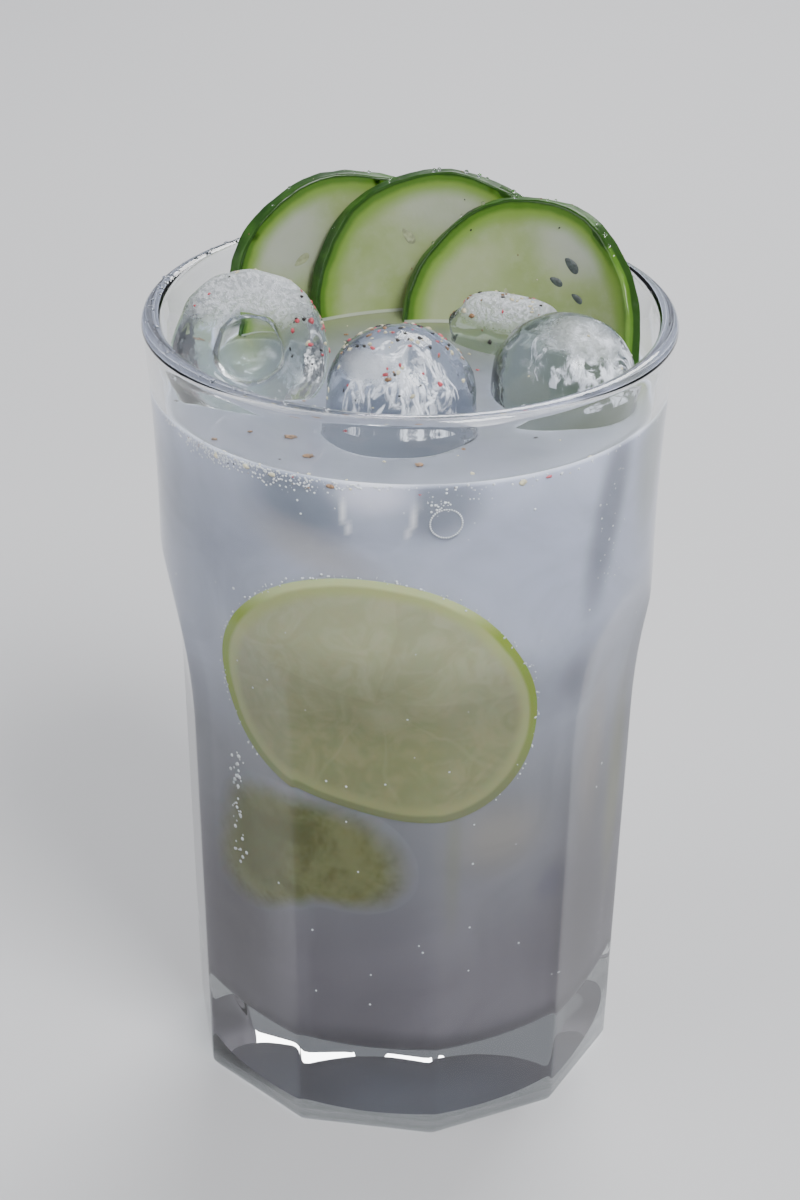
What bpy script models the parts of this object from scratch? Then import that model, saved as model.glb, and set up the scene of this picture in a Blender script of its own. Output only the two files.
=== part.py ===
"""An iced, cloudy long drink in a tall ten-sided tumbler.

The tumbler stands on z = 0 with its axis on the z axis, and its front is at -Y. The drink fills it
to 13 mm under the rim. Four pieces of moulded ice float in it, and three slices of cucumber stand
fanned against the back wall. Crushed pepper lies on the ice.
"""
import math
import random

import bmesh
import bpy
from mathutils import Matrix, Vector
from mathutils.bvhtree import BVHTree

MM = 0.001
GAP = 0.3  # room left between pieces that touch

# Tumbler, all in millimetres
HEIGHT = 140.0
RIM_RADIUS = 44.17
RIM_WALL = 3.27
BAND_RADIUS = 42.0  # of the smooth round band over the facets
BAND_BASE = 99.0  # height where the arched tops of the facets end
BAND_FLARE = 1.9  # how late the band widens towards the rim
FACETS = 10
FACET_POINTS = 5  # points of the outline on each facet
FACET_EDGE_ANGLE = math.radians(8.53)  # from the front to the first edge on its right
BASE_APOTHEM = 35.82
FACET_SLOPE = 0.028
SCOOP_BASE = 70.0  # height where the facets begin to curve out to the band
SCOOP_DEPTH = 3.4
FOOT_ROUNDING = 1.2
FLOOR = 14.0
FLOOR_ROUNDING = 7.0
LOWER_INSIDE = (32.9, 34.6)  # inner radius over the rounding and under the shoulder
SHOULDER = (76.0, 98.0)
UPPER_INSIDE = 38.7  # inner radius over the shoulder

# Drink and what floats in it
LEVEL = 127.0

# name, where the middle of the open end is, how its axis is turned, radius, length, hole radius, hole depth
ICE = (
    ("ice_left", (-26.3, -4.8, 134.4), (-113.0, 0.0, 0.0), 13.0, 25.0, 5.4, 17.0),
    ("ice_middle", (-2.5, -16.0, 114.5), (2.0, 3.0, 40.0), 12.7, 28.5, 0.0, 0.0),
    ("ice_right", (26.0, -4.5, 112.5), (-2.0, 1.5, 100.0), 12.3, 28.0, 0.0, 0.0),
)
ICE_SIDES = 26
CHUNK_MIDDLE = (17.2, 14.6, 128.0)
CHUNK_HALF = (10.5, 4.1, 8.4)
CHUNK_TURN = -28.0

# name, middle, turn to the right and lean back in degrees, half width, half height, bend radius
SLICES = (
    ("cucumber_left", (-11.2, 31.9, 129.7), 19.3, 4.9, 21.8, 21.7, 63.0),
    ("cucumber_middle", (5.6, 31.2, 129.4), 0.0, 6.7, 22.9, 22.4, 41.0),
    ("cucumber_right", (20.7, 21.3, 126.3), -28.1, 12.4, 22.9, 23.8, 34.0),
)
SLICE_THICKNESS = 2.9
SLICE_POINTS = 44
SLICE_EDGE = 0.5  # rounding of the slice's rim

# Crushed pepper: piece, how many flakes, and the lowest height they lie at
PEPPER = (("ice_middle", 12, 136.0), ("ice_left", 6, 137.0), ("ice_back", 4, 130.5))
FLAKE = (0.65, 1.0)  # smallest and largest half width
FLAKE_SPACING = 2.4
FLAKE_TRIES = 400  # draws for a place, of which those off the piece or too close are left


def clear_scene():
    for obj in list(bpy.data.objects):
        bpy.data.objects.remove(obj, do_unlink=True)


def make_material(name, colour, roughness, alpha=1.0):
    mat = bpy.data.materials.new(name)
    mat.use_nodes = True
    shader = mat.node_tree.nodes["Principled BSDF"]
    shader.inputs["Base Color"].default_value = (*colour, 1.0)
    shader.inputs["Roughness"].default_value = roughness
    shader.inputs["Metallic"].default_value = 0.0
    shader.inputs["Alpha"].default_value = alpha
    return mat


def make_object(name, bm, material):
    bmesh.ops.recalc_face_normals(bm, faces=bm.faces)
    bmesh.ops.triangulate(bm, faces=[f for f in bm.faces if len(f.verts) > 3])
    mesh = bpy.data.meshes.new(name)
    bm.to_mesh(mesh)
    bm.free()
    mesh.materials.append(material)
    mesh.shade_smooth()
    mesh.set_sharp_from_angle(angle=math.radians(24))
    obj = bpy.data.objects.new(name, mesh)
    bpy.context.scene.collection.objects.link(obj)
    return obj


def skin(rings, start, end):
    """A closed surface through rings of points, drawn in to a point at each end. In millimetres."""
    bm = bmesh.new()
    rows = [[bm.verts.new(Vector(p) * MM) for p in ring] for ring in rings]
    count = len(rows[0])
    for low, high in zip(rows, rows[1:]):
        for i in range(count):
            j = (i + 1) % count
            bm.faces.new((low[i], low[j], high[j], high[i]))
    for tip, row in ((start, rows[0]), (end, rows[-1])):
        point = bm.verts.new(Vector(tip) * MM)
        for i in range(count):
            bm.faces.new((row[i], row[(i + 1) % count], point))
    return bm


def smooth_step(t):
    t = min(max(t, 0.0), 1.0)
    return t * t * (3.0 - 2.0 * t)


def band_radius(z):
    rise = max(z - BAND_BASE, 0.0) / (HEIGHT - BAND_BASE)
    return BAND_RADIUS + (RIM_RADIUS - BAND_RADIUS) * rise**BAND_FLARE


def outer_radius(angle, z):
    """The round band, cut back where a facet lies further in. Angles run from the front to +X."""
    step = math.tau / FACETS
    off = (angle - FACET_EDGE_ANGLE) % step - step / 2
    scoop = max(z - SCOOP_BASE, 0.0) / (BAND_BASE - SCOOP_BASE)
    apothem = BASE_APOTHEM + FACET_SLOPE * z + SCOOP_DEPTH * scoop**2
    return min(band_radius(z), apothem / math.cos(off))


def inner_radius(z):
    low, high = LOWER_INSIDE
    top = FLOOR + FLOOR_ROUNDING
    if z < top:
        drop = top - z
        return low - FLOOR_ROUNDING + math.sqrt(max(FLOOR_ROUNDING**2 - drop**2, 0.0))
    start, end = SHOULDER
    side = low + (high - low) * (z - top) / (start - top)
    if z <= start:
        return side
    if z < end:
        return high + (UPPER_INSIDE - high) * smooth_step((z - start) / (end - start))
    return UPPER_INSIDE + (RIM_RADIUS - RIM_WALL - UPPER_INSIDE) * (z - end) / (HEIGHT - end)


def at(angle, radius, z):
    return (radius * math.sin(angle), -radius * math.cos(angle), z)


def outline_angles():
    count = FACETS * FACET_POINTS
    return [FACET_EDGE_ANGLE + math.tau * i / count for i in range(count)]


def inside_heights(top):
    rounding = [FLOOR + FLOOR_ROUNDING * (1 - math.cos(math.radians(a))) for a in (25, 50, 70, 90)]
    shoulder = [SHOULDER[0] + (SHOULDER[1] - SHOULDER[0]) * t for t in (0.0, 0.25, 0.5, 0.75, 1.0)]
    return rounding + shoulder + [top]


def make_glass():
    angles = outline_angles()
    rings = []
    for turn in (0, 45, 90):
        inset = FOOT_ROUNDING * (1 - math.sin(math.radians(turn)))
        z = FOOT_ROUNDING * (1 - math.cos(math.radians(turn)))
        rings.append([at(a, outer_radius(a, z) - inset, z) for a in angles])
    heights = [SCOOP_BASE, 76.0, 81.0, 85.0, 88.0, 90.5, 93.0, 96.0, BAND_BASE, 112.0, 124.0, 132.0]
    for z in heights:
        rings.append([at(a, outer_radius(a, z), z) for a in angles])
    lip = RIM_WALL / 2
    for turn in (0, 40, 90, 140, 180):
        radius = RIM_RADIUS - lip + lip * math.cos(math.radians(turn))
        z = HEIGHT - lip + lip * math.sin(math.radians(turn))
        rings.append([at(a, radius, z) for a in angles])
    for z in reversed(inside_heights(120.0)):
        rings.append([at(a, inner_radius(z), z) for a in angles])
    return skin(rings, (0, 0, 0), (0, 0, FLOOR))


def make_drink():
    angles = outline_angles()
    rings = []
    for z in inside_heights(LEVEL):
        lift = GAP if z < FLOOR + FLOOR_ROUNDING else 0.0
        rings.append([at(a, inner_radius(z) - GAP, z + lift) for a in angles])
    return skin(rings, (0, 0, FLOOR + GAP), (0, 0, LEVEL))


def thimble(radius, length, hole, depth, grow, lumps):
    """Moulded ice, open end at z = 0 and domed end up, with or without its hollow."""
    side = length - 0.85 * radius
    profile = [(0.86 * radius, 0.0), (radius, 0.09 * radius), (0.98 * radius, 0.55 * side)]
    for turn in (0, 24, 46, 66, 82):
        r = 0.95 * radius * math.cos(math.radians(turn))
        z = side + (length - side) * math.sin(math.radians(turn))
        profile.append((r, z))
    if hole:
        inner = [(hole * 1.08, 0.0), (hole, 0.5 * depth), (0.8 * hole, 0.85 * depth), (0.4 * hole, depth)]
        profile = list(reversed(inner)) + profile
    rings = []
    for r, z in profile:
        ring = []
        for i in range(ICE_SIDES):
            a = math.tau * i / ICE_SIDES
            wave = 0.014 * math.sin(3 * a + lumps + 0.2 * z) + 0.01 * math.sin(5 * a - 2 * lumps)
            spread = r * (1 + wave) + grow
            drop = -grow if z < 0.05 * length else 0.0
            ring.append((spread * math.cos(a), spread * math.sin(a), z + drop))
        rings.append(ring)
    start = (0, 0, depth + 0.2 * hole) if hole else (0, 0, -grow - 0.4)
    return skin(rings, start, (0, 0, length + grow))


def chunk(grow):
    """A broken slab of ice with rounded, uneven sides."""
    rings = []
    for row in range(1, 8):
        tilt = math.pi * row / 8
        ring = []
        for i in range(ICE_SIDES):
            a = math.tau * i / ICE_SIDES
            wave = 1 + 0.05 * math.sin(3 * a + 2 * tilt) + 0.03 * math.sin(4 * a - 3 * tilt)
            across = math.copysign(abs(math.cos(a)) ** 0.8, math.cos(a))
            along = math.copysign(abs(math.sin(a)) ** 0.8, math.sin(a))
            size = wave * math.sin(tilt) ** 0.6
            x = (CHUNK_HALF[0] * size + grow) * across
            y = (CHUNK_HALF[1] * size + grow) * along
            ring.append((x, y, -(CHUNK_HALF[2] + grow) * math.cos(tilt)))
        rings.append(ring)
    return skin(rings, (0, 0, -CHUNK_HALF[2] - grow), (0, 0, CHUNK_HALF[2] + grow))


def slice_outline(angle, order):
    """Share of the slice's half size at this angle: cucumber is a little lobed, never quite round."""
    return 1 + 0.010 * math.sin(3 * angle + order) + 0.007 * math.sin(8 * angle + 2 * order)


def cucumber(half_width, half_height, bend, order, grow):
    """A slice whose front face looks along -Y, bent forward at both sides by the wall behind it."""
    thickness = SLICE_THICKNESS + 2 * grow
    steps = ((-grow, SLICE_EDGE), (SLICE_EDGE - grow, 0.0))
    steps += ((thickness - grow - SLICE_EDGE, 0.0), (thickness - grow, SLICE_EDGE))
    rings = []
    for depth, inset in steps:
        ring = []
        for i in range(SLICE_POINTS):
            a = math.tau * i / SLICE_POINTS
            share = slice_outline(a, order)
            across = (half_width * share + grow - inset) * math.cos(a)
            up = (half_height * share + grow - inset) * math.sin(a)
            ring.append(bent(across, depth, up, bend))
        rings.append(ring)
    inner = []
    for ring, depth in ((rings[0], -grow), (rings[-1], thickness - grow)):
        row = []
        for i in range(SLICE_POINTS):
            a = math.tau * i / SLICE_POINTS
            share = 0.55 * slice_outline(a, order)
            row.append(bent(half_width * share * math.cos(a), depth, half_height * share * math.sin(a), bend))
        inner.append(row)
    rings = [inner[0], *rings, inner[1]]
    return skin(rings, bent(0, -grow, 0, bend), bent(0, thickness - grow, 0, bend))


def bent(across, depth, up, bend):
    turn = across / bend
    reach = bend + depth
    return (reach * math.sin(turn), reach * math.cos(turn) - bend, up)


def set_place(obj, middle, degrees):
    obj.location = Vector(middle) * MM
    obj.rotation_euler = [math.radians(d) for d in degrees]


def ice_object(name, material, grow=0.0):
    for order, (node, middle, turn, radius, length, hole, depth) in enumerate(ICE):
        if name.startswith(node):
            hollow = 0.0 if grow else hole
            obj = make_object(name, thimble(radius, length, hollow, depth, grow, order), material)
            set_place(obj, middle, turn)
            return obj
    obj = make_object(name, chunk(grow), material)
    set_place(obj, CHUNK_MIDDLE, (0.0, 0.0, CHUNK_TURN))
    return obj


def slice_object(name, material, grow=0.0):
    for order, (node, middle, turn, lean, half_width, half_height, bend) in enumerate(SLICES):
        if name.startswith(node):
            bm = cucumber(half_width, half_height, bend, order, grow)
            obj = make_object(name, bm, material)
            set_place(obj, middle, (-lean, 0.0, turn))
            return obj


def scatter_pepper(obj, count, lowest, rng):
    """Flakes of crushed pepper, each half sunk in the upper side of the piece."""
    bpy.context.view_layer.update()
    place = obj.matrix_world
    bm = bmesh.new()
    bm.from_mesh(obj.data)
    bm.transform(place)
    tree = BVHTree.FromBMesh(bm)
    xs = [v.co.x for v in bm.verts]
    ys = [v.co.y for v in bm.verts]
    bm.free()
    flakes = []
    spots = []
    for _ in range(FLAKE_TRIES):
        if len(flakes) == count:
            break
        x = rng.uniform(min(xs), max(xs))
        y = rng.uniform(min(ys), max(ys))
        hit, normal, _, _ = tree.ray_cast(Vector((x, y, 1.0)), Vector((0, 0, -1)))
        if hit is None or hit.z < lowest * MM or normal.z < 0.3:
            continue
        if any((hit - spot).length < FLAKE_SPACING * MM for spot in spots):
            continue
        spots.append(hit)
        half = rng.uniform(*FLAKE)
        flake = bmesh.new()
        bmesh.ops.create_icosphere(flake, subdivisions=1, radius=half * MM)
        flat = Matrix.Diagonal((1.0, rng.uniform(0.6, 0.9), 0.55, 1.0))
        spin = Matrix.Rotation(rng.uniform(0, math.tau), 4, "Z")
        facing = normal.to_track_quat("Z", "Y").to_matrix().to_4x4()
        flake.transform(Matrix.Translation(hit) @ facing @ spin @ flat)
        flake.transform(place.inverted())
        piece = make_object(f"flake_{obj.name}_{len(flakes)}", flake, obj.data.materials[0])
        piece.matrix_world = place
        flakes.append(piece)
    return flakes


def fuse(obj, pieces):
    """Joins small pieces to the object by one Boolean union, and removes their own objects."""
    group = bpy.data.collections.new(f"on_{obj.name}")
    bpy.context.scene.collection.children.link(group)
    for piece in pieces:
        bpy.context.scene.collection.objects.unlink(piece)
        group.objects.link(piece)
    union = obj.modifiers.new("pepper", "BOOLEAN")
    union.operation = "UNION"
    union.operand_type = "COLLECTION"
    union.collection = group
    union.solver = "EXACT"
    graph = bpy.context.evaluated_depsgraph_get()
    joined = bpy.data.meshes.new_from_object(obj.evaluated_get(graph))
    obj.modifiers.clear()
    obj.data = joined
    for piece in pieces:
        bpy.data.objects.remove(piece, do_unlink=True)
    bpy.data.collections.remove(group)


def cut_drink(drink, cutters):
    """Leaves room in the drink for all that floats in it."""
    group = bpy.data.collections.new("room_in_drink")
    bpy.context.scene.collection.children.link(group)
    for cutter in cutters:
        bpy.context.scene.collection.objects.unlink(cutter)
        group.objects.link(cutter)
        cutter.hide_render = True
        cutter.display_type = "WIRE"
    cut = drink.modifiers.new("floating pieces", "BOOLEAN")
    cut.operation = "DIFFERENCE"
    cut.operand_type = "COLLECTION"
    cut.collection = group
    cut.solver = "EXACT"


def main():
    clear_scene()
    rng = random.Random(11)
    glass = make_material("glass", (0.86, 0.9, 0.92), 0.03, 0.35)
    milky = make_material("drink", (0.62, 0.66, 0.7), 0.15)
    ice = make_material("ice", (0.78, 0.82, 0.87), 0.12)
    green = make_material("cucumber", (0.62, 0.72, 0.47), 0.35)
    make_object("glass", make_glass(), glass)
    drink = make_object("drink", make_drink(), milky)
    pieces = {}
    cutters = []
    for name in [row[0] for row in ICE] + ["ice_back"]:
        pieces[name] = ice_object(name, ice)
        cutters.append(ice_object(f"{name}_room", ice, GAP))
    for name in [row[0] for row in SLICES]:
        pieces[name] = slice_object(name, green)
        cutters.append(slice_object(f"{name}_room", green, GAP))
    cut_drink(drink, cutters)
    for name, count, lowest in PEPPER:
        fuse(pieces[name], scatter_pepper(pieces[name], count, lowest, rng))


main()
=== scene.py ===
"""Looks of an iced, cloudy long drink in a ten-sided tumbler: glass, drink, ice, cucumber, lime and pepper.

Sizes are in millimetres and angles run from the front (-Y) towards +X, as in the model itself.
"""
import math
import random

import bmesh
import bpy
from mathutils import Euler, Matrix, Vector, noise
from mathutils.bvhtree import BVHTree


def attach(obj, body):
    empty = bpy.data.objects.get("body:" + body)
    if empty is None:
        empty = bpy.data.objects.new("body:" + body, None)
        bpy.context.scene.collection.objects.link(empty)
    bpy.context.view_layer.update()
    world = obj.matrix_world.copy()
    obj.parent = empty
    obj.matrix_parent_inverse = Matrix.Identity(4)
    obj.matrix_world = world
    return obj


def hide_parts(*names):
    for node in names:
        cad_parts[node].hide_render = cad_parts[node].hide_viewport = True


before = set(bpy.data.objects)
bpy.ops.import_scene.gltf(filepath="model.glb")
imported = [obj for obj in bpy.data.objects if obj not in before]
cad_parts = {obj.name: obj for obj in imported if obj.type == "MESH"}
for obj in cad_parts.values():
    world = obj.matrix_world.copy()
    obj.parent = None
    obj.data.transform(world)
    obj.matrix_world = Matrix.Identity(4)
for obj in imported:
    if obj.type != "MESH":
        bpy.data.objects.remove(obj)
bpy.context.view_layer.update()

MM = 0.001

# Tumbler
HEIGHT = 140.0
RIM_RADIUS = 44.17
RIM_WALL = 3.27
BAND_RADIUS = 42.0
BAND_BASE = 99.0
BAND_FLARE = 1.9
FACETS = 10
FACET_EDGE_ANGLE = math.radians(8.53)
BASE_APOTHEM = 35.82
FACET_SLOPE = 0.028
SCOOP_BASE = 70.0
SCOOP_DEPTH = 3.4
FOOT_ROUNDING = 1.2
FLOOR = 14.0
FLOOR_ROUNDING = 7.0
LOWER_INSIDE = (32.9, 34.6)
SHOULDER = (76.0, 98.0)
UPPER_INSIDE = 38.7
EDGE_SHARPNESS = 230.0  # power that rounds the edges between facets a little
POINTS_ON_FACET = 18
PUNT = (27.0, 1.6)  # radius and depth of the hollow under the foot

# Drink
LEVEL = 127.0
INTO_WALL = 0.06
MENISCUS = (2.4, 0.9)  # width and rise

# name, middle of the open end, turn in degrees, radius, length, hole radius, hole depth
ICE = (
    ("ice_left", (-26.3, -4.8, 134.4), (-113.0, 0.0, 0.0), 13.0, 25.0, 5.4, 17.0),
    ("ice_middle", (-2.5, -16.0, 114.5), (2.0, 3.0, 40.0), 12.7, 28.5, 0.0, 0.0),
    ("ice_right", (26.0, -4.5, 112.5), (-2.0, 1.5, 100.0), 12.3, 28.0, 0.0, 0.0),
)
# White veils inside the ice: middle, radius, height, lowest point, and from which turn to which, in degrees
VEILS = (
    ((-1.5, -16.0, 0.0), 8.6, 15.0, 126.0, -70, 75),
    ((-1.0, -15.0, 0.0), 6.2, 10.0, 128.0, -110, 100),
    ((27.5, -4.0, 0.0), 8.0, 13.0, 126.5, -20, 120),
    ((26.5, -3.5, 0.0), 5.6, 9.0, 128.0, -120, 120),
)
CHUNK_MIDDLE = (17.2, 14.6, 128.0)
CHUNK_HALF = (10.5, 4.1, 8.4)
CHUNK_TURN = -28.0

# name, middle, turn to the right and lean back in degrees, half width, half height, bend radius
SLICES = (
    ("cucumber_left", (-11.2, 31.9, 129.7), 19.3, 4.9, 21.8, 21.7, 63.0),
    ("cucumber_middle", (5.6, 31.2, 129.4), 0.0, 6.7, 22.9, 22.4, 41.0),
    ("cucumber_right", (20.7, 21.3, 126.3), -28.1, 12.4, 22.9, 23.8, 34.0),
)
SLICE_THICKNESS = 2.9
SLICE_EDGE = 0.5
SHOWN_RIM = 0.45  # past this cosine from the right, a slice's side shows its light rim before the skin

# Lime against the front wall: angle and height of its middle, half width along the wall, half height
WHEEL = (math.radians(-7.4), 86.8, 27.9, 23.9)
WHEEL_WAVES = ((-0.014, -0.045), (0.010, -0.055), (-0.026, -0.063), (-0.012, 0.008))
WEDGE = (math.radians(-29.6), 53.0, 19.4, 14.6)
WEDGE_WAVES = ((-0.068, 0.060), (0.100, 0.085), (0.090, -0.070), (-0.060, -0.016))

# Colours of the drink, from the floor up, and of its surface; from the floor up they carry painted shade and
# light, darker low down and lighter towards the top, where the light falls from above
LOW_DRINK = (0.140, 0.132, 0.153)
MID_DRINK = (0.198, 0.201, 0.228)
HIGH_DRINK = (0.420, 0.448, 0.555)
TOP_DRINK = (0.222, 0.236, 0.290)
TOP_GREEN = (0.225, 0.262, 0.140)
# What shows dimly through the drink, and painted shade low on each side: middle (degrees, mm), half size,
# tilt, softness, colour, share
HAZES_AND_SHADE = (
    ((-25.0, 122.5), (13.0, 6.5), -8.0, 0.6, (0.150, 0.175, 0.225), 0.90),
    ((7.0, 124.0), (9.0, 5.5), 12.0, 0.6, (0.175, 0.195, 0.240), 0.90),
    ((52.0, 117.0), (4.8, 17.0), -14.0, 0.55, (0.190, 0.205, 0.255), 0.90),
    ((72.0, 121.0), (8.0, 13.0), 0.0, 0.6, (0.250, 0.270, 0.225), 0.55),
    ((-22.0, 114.5), (14.0, 3.4), -12.0, 0.8, (0.400, 0.370, 0.350), 0.50),
    ((47.0, 86.0), (4.5, 5.0), 0.0, 0.8, (0.190, 0.195, 0.240), 0.60),
    ((45.5, 45.5), (4.5, 3.0), 0.0, 0.8, (0.125, 0.125, 0.170), 0.55),
    ((60.0, 66.0), (6.0, 14.0), 0.0, 0.8, (0.300, 0.270, 0.235), 0.55),
    # the next two rows are painted shade: dark bands low down on each side of the glass
    ((62.0, 38.0), (16.0, 24.0), 0.0, 0.8, (0.058, 0.053, 0.062), 0.70),
    ((-56.0, 36.0), (14.0, 22.0), 0.0, 0.8, (0.074, 0.069, 0.078), 0.70),
    ((27.0, 58.0), (12.0, 6.0), 0.0, 0.8, (0.235, 0.218, 0.198), 0.70),
    ((80.0, 56.0), (6.0, 16.0), 0.0, 0.8, (0.175, 0.180, 0.095), 0.60),
    ((12.5, 56.0), (2.2, 12.0), 0.0, 0.8, (0.170, 0.175, 0.125), 0.45),
    ((-62.0, 114.0), (20.0, 15.0), 0.0, 0.9, (0.290, 0.315, 0.390), 0.60),
    ((150.0, 112.0), (26.0, 17.0), 8.0, 0.6, (0.255, 0.325, 0.150), 0.55),
    ((-165.0, 114.0), (24.0, 17.0), -6.0, 0.6, (0.250, 0.320, 0.150), 0.55),
    ((120.0, 62.0), (18.0, 12.0), 15.0, 0.7, (0.205, 0.225, 0.125), 0.50),
    ((-120.0, 90.0), (16.0, 13.0), 0.0, 0.9, (0.290, 0.310, 0.330), 0.40),
)
ICE_END = (-6.5, 115.4, 8.6, 9.0)  # angle, lowest height, half width in degrees, height of the rounding
DRINK_SIDES = 300
SEGMENTS = 9  # of the lime
FACET_SHADE = 0.075  # how much painted shade or light each facet puts on the drink, for the light it bends and reflects
FACET_BLEND = 0.04  # share of a facet over which its shade turns to its neighbour's

# Larger pepper shards that float at the front: x, y and half width
FLOATING = (
    (-18.6, -20.5, 1.15), (-15.5, -28.2, 0.95), (-30.0, -22.5, 0.6), (1.6, -31.0, 0.7), (-25.0, -19.0, 0.5),
)
# Shards are dropped from this height, with up to so many tries for each
DROP_HEIGHT = 200.0
TRIES = 40
# Larger shards on the waterline: turn from the front in degrees
BEACHED = (-47, -38, -31, -17, 25.5, 32)
BEACHED_HALF = 0.75
# The large bubble: turn in degrees, height, radius and radius of its rim
LARGE_BUBBLE = (8.4, 120.8, 2.5, 0.2)
# Pale patches on the slices' flesh: middle, half size, share and colour
PALE_PATCHES = (
    ((27.0, 18.0, 146.0), (9.0, 9.0, 7.0), 0.75, (0.47, 0.49, 0.45)),
    ((6.0, 33.0, 146.0), (8.0, 7.0, 5.0), 0.6, (0.46, 0.48, 0.42)),
    ((-21.0, 28.0, 141.0), (7.0, 9.0, 8.0), 0.7, (0.46, 0.47, 0.43)),
)
# Seeds: slice, across and up from its middle, tilt in degrees, half length
DARK_SEEDS = ((2, 6.3, 13.8, 60, 2.3), (2, 3.7, 10.4, 75, 1.9), (2, 8.4, 8.4, 70, 1.6))
PALE_SEEDS = (
    (2, -5.0, 6.0, 20, 2.0), (1, 2.0, 9.0, 70, 2.1), (1, -6.0, 11.0, 40, 2.0),
    (0, 0.0, 9.0, 80, 2.1), (0, -8.0, 7.0, 120, 2.0), (1, 7.0, 7.0, 20, 1.9),
)

# Camera, fitted to the photograph's rim and base
CAMERA_PLACE = (-1.1, -483.0, 339.5)
CAMERA_DOWN = math.radians(27.70)
CAMERA_ROLL = 0.0119
CAMERA_LENS = 95.0
SENSOR = 36.0


class Shader:
    """A material with a few calls for its nodes."""

    def __init__(self, name):
        self.material = bpy.data.materials.new(name)
        self.material.use_nodes = True
        self.tree = self.material.node_tree
        self.main = self.tree.nodes["Principled BSDF"]
        self.out = self.tree.nodes["Material Output"]

    def set(self, **values):
        for key, value in values.items():
            self.main.inputs[key.replace("_", " ")].default_value = value
        return self

    def node(self, kind, inputs=None, **settings):
        node = self.tree.nodes.new(kind)
        for key, value in settings.items():
            setattr(node, key, value)
        for key, value in (inputs or {}).items():
            if isinstance(value, bpy.types.NodeSocket):
                self.tree.links.new(value, node.inputs[key])
            else:
                node.inputs[key].default_value = value
        return node

    def place(self):
        return self.node("ShaderNodeTexCoord").outputs["Object"]

    def height(self):
        return self.node("ShaderNodeSeparateXYZ", {0: self.place()}).outputs["Z"]

    def on_slice(self, layer):
        """The place on a round slice, and how far out it is: 1 at its edge."""
        spot = self.node("ShaderNodeUVMap", uv_map=layer).outputs["UV"]
        return spot, self.vector("LENGTH", spot)

    def noise(self, scale, detail=3.0, rough=0.5, vector=None, distortion=0.0):
        inputs = {"Scale": scale, "Detail": detail, "Roughness": rough, "Distortion": distortion}
        inputs["Vector"] = vector or self.place()
        return self.node("ShaderNodeTexNoise", inputs).outputs["Fac"]

    def ramp(self, factor, low, high, start=0.0, end=1.0):
        inputs = {"Value": factor, "From Min": low, "From Max": high, "To Min": start, "To Max": end}
        node = self.node("ShaderNodeMapRange", inputs, interpolation_type="SMOOTHSTEP")
        return node.outputs["Result"]

    def mix(self, factor, first, second):
        first, second = ((*c, 1.0) if isinstance(c, tuple) else c for c in (first, second))
        return self.node("ShaderNodeMix", {0: factor, 6: first, 7: second}, data_type="RGBA").outputs[2]

    def math(self, operation, first, second=0.0):
        return self.node("ShaderNodeMath", {0: first, 1: second}, operation=operation).outputs[0]

    def vector(self, operation, first, second=(0.0, 0.0, 0.0)):
        node = self.node("ShaderNodeVectorMath", {0: first, 1: second}, operation=operation)
        return node.outputs["Value" if operation == "LENGTH" else 0]

    def scaled(self, colour, factor):
        return self.node("ShaderNodeVectorMath", {0: colour, 3: factor}, operation="SCALE").outputs[0]

    def blob(self, middle, half, soft=1.0):
        """1 in the middle of an ellipsoid given in millimetres, falling softly to 0 past its surface."""
        apart = self.vector("SUBTRACT", self.place(), [c * MM for c in middle])
        reach = self.vector("LENGTH", self.vector("DIVIDE", apart, [h * MM for h in half]))
        return self.ramp(reach, 1.0 + soft * 0.5, 1.0 - soft * 0.5)

    def feed(self, name, socket):
        self.tree.links.new(socket, self.main.inputs[name])
        return self

    def bump(self, height, strength, distance):
        inputs = {"Height": height, "Strength": strength, "Distance": distance * MM}
        node = self.node("ShaderNodeBump", inputs)
        self.tree.links.new(node.outputs["Normal"], self.main.inputs["Normal"])
        return self

    def let_lamps_through(self, tint):
        """Lamps reach what is behind the surface, instead of a hard black shadow."""
        clear = self.node("ShaderNodeBsdfTransparent", {"Color": (*tint, 1.0)})
        path = self.node("ShaderNodeLightPath")
        both = self.node("ShaderNodeMixShader")
        self.tree.links.new(path.outputs["Is Shadow Ray"], both.inputs[0])
        self.tree.links.new(self.main.outputs[0], both.inputs[1])
        self.tree.links.new(clear.outputs[0], both.inputs[2])
        self.tree.links.new(both.outputs[0], self.out.inputs["Surface"])
        return self


def smooth_step(t):
    t = min(max(t, 0.0), 1.0)
    return t * t * (3.0 - 2.0 * t)


def band_radius(z):
    rise = max(z - BAND_BASE, 0.0) / (HEIGHT - BAND_BASE)
    return BAND_RADIUS + (RIM_RADIUS - BAND_RADIUS) * rise**BAND_FLARE


def outer_radius(angle, z):
    """The round band and the ten facets, whichever lies further in, with softly rounded edges."""
    scoop = max(z - SCOOP_BASE, 0.0) / (BAND_BASE - SCOOP_BASE)
    apothem = BASE_APOTHEM + FACET_SLOPE * z + SCOOP_DEPTH * scoop**2
    band = band_radius(z)
    total = 1.0
    for i in range(FACETS):
        facing = math.cos(angle - FACET_EDGE_ANGLE - math.tau * (i + 0.5) / FACETS)
        if facing > 0.5:
            total += (facing * band / apothem) ** EDGE_SHARPNESS
    return band * total ** (-1.0 / EDGE_SHARPNESS)


def inner_radius(z):
    low, high = LOWER_INSIDE
    top = FLOOR + FLOOR_ROUNDING
    if z < top:
        drop = top - z
        return low - FLOOR_ROUNDING + math.sqrt(max(FLOOR_ROUNDING**2 - drop**2, 0.0))
    start, end = SHOULDER
    side = low + (high - low) * (z - top) / (start - top)
    if z <= start:
        return side
    if z < end:
        return high + (UPPER_INSIDE - high) * smooth_step((z - start) / (end - start))
    return UPPER_INSIDE + (RIM_RADIUS - RIM_WALL - UPPER_INSIDE) * (z - end) / (HEIGHT - end)


def at(angle, radius, z):
    return (radius * math.sin(angle), -radius * math.cos(angle), z)


def steps(start, end, count):
    return [start + (end - start) * i / count for i in range(count + 1)]


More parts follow.
